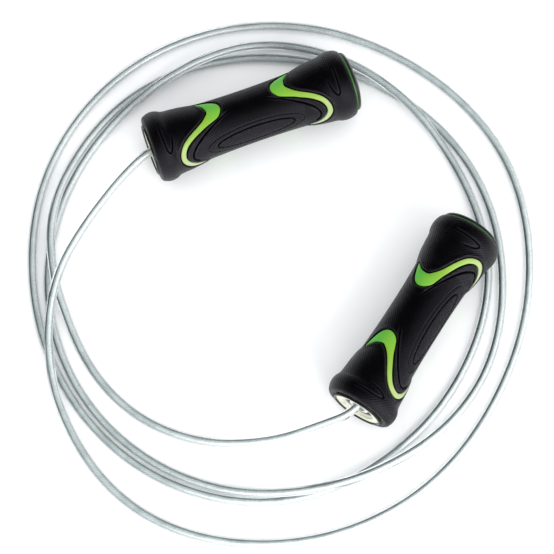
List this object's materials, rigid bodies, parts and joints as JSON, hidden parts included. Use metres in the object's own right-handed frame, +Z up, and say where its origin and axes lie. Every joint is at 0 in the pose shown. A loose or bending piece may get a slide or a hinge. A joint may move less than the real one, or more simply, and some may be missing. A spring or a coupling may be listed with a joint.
{
  "type": "jump rope",
  "caption": "Jump rope: clear-jacketed steel cable in a loose coil between two waisted, rubber-gripped handles that spin on ball bearings.",
  "frame": {"origin": "on the floor, under the middle of the box around the two handles", "axes": "+Z up from the floor; X and Y along the floor, with the coil's loose ends crossing on the -X side"},
  "size_m": [0.2973, 0.3246, 0.0424],
  "materials": {
    "grip_rubber": "soft matte thermoplastic rubber with a fine moulded grain",
    "core_green": "satin moulded plastic",
    "collar_black": "semi-gloss moulded plastic",
    "cap_black": "fine satin moulded plastic",
    "housing_cream": "semi-gloss natural nylon",
    "bearing_steel": "ground bearing steel",
    "ball_chrome": "polished",
    "cage_nylon": "moulded nylon",
    "spring_steel": "dull spring steel",
    "sleeve_clear": "milky translucent acetal",
    "stop_brass": "turned",
    "screw_steel": "blackened",
    "cable_jacket": "clear flexible vinyl over twisted steel strand"
  },
  "bodies": {
    "rope": {"cable_coil": "cable_jacket", "cable_lead_a": "cable_jacket", "cable_lead_b": "cable_jacket", "cable_end_a": "cable_jacket", "swivel_sleeve_a": "sleeve_clear", "bearing_inner_ring_a": "bearing_steel", "thrust_washer_a": "spring_steel", "cable_stop_a": "stop_brass", "stop_screw_a": "screw_steel", "cable_end_b": "cable_jacket", "swivel_sleeve_b": "sleeve_clear", "bearing_inner_ring_b": "bearing_steel", "thrust_washer_b": "spring_steel", "cable_stop_b": "stop_brass", "stop_screw_b": "screw_steel"},
    "handle_a": {"grip_a": "grip_rubber", "core_a": "core_green", "end_collar_a": "collar_black", "bearing_housing_a": "housing_cream", "bearing_outer_ring_a": "bearing_steel", "retaining_ring_a": "spring_steel"},
    "balls_a": {"bearing_balls_a": "ball_chrome", "bearing_cage_a": "cage_nylon"},
    "cap_a": {"end_cap_a": "cap_black"},
    "handle_b": {"grip_b": "grip_rubber", "core_b": "core_green", "end_collar_b": "collar_black", "bearing_housing_b": "housing_cream", "bearing_outer_ring_b": "bearing_steel", "retaining_ring_b": "spring_steel"},
    "balls_b": {"bearing_balls_b": "ball_chrome", "bearing_cage_b": "cage_nylon"},
    "cap_b": {"end_cap_b": "cap_black"}
  },
  "joints": [
    {"name": "handle_a_spin", "type": "hinge", "parent": "rope", "child": "handle_a", "pos_m": [-0.0976, 0.0533, 0.0212], "axis": [0.9379, 0.3469, 0], "continuous": true},
    {"name": "balls_a_roll", "type": "hinge", "parent": "rope", "child": "balls_a", "pos_m": [-0.09319, 0.05493, 0.0212], "axis": [0.9379, 0.3469, 0], "continuous": true},
    {"name": "cap_a_turn", "type": "hinge", "parent": "handle_a", "child": "cap_a", "pos_m": [0.01898, 0.09642, 0.0212], "axis": [0.9379, 0.3469, 0], "range_deg": [0, 45]},
    {"name": "handle_b_spin", "type": "hinge", "parent": "rope", "child": "handle_b", "pos_m": [0.0218, -0.1044, 0.0212], "axis": [0.5358, 0.8443, 0], "continuous": true},
    {"name": "balls_b_roll", "type": "hinge", "parent": "rope", "child": "balls_b", "pos_m": [0.02432, -0.10043, 0.0212], "axis": [0.5358, 0.8443, 0], "continuous": true},
    {"name": "cap_b_turn", "type": "hinge", "parent": "handle_b", "child": "cap_b", "pos_m": [0.0884, 0.00055, 0.0212], "axis": [0.5358, 0.8443, 0], "range_deg": [0, 45]}
  ],
  "couplings": [
    {"joint": "balls_a_roll", "follows": "handle_a_spin", "ratio": 0.63},
    {"joint": "balls_b_roll", "follows": "handle_b_spin", "ratio": 0.63}
  ]
}
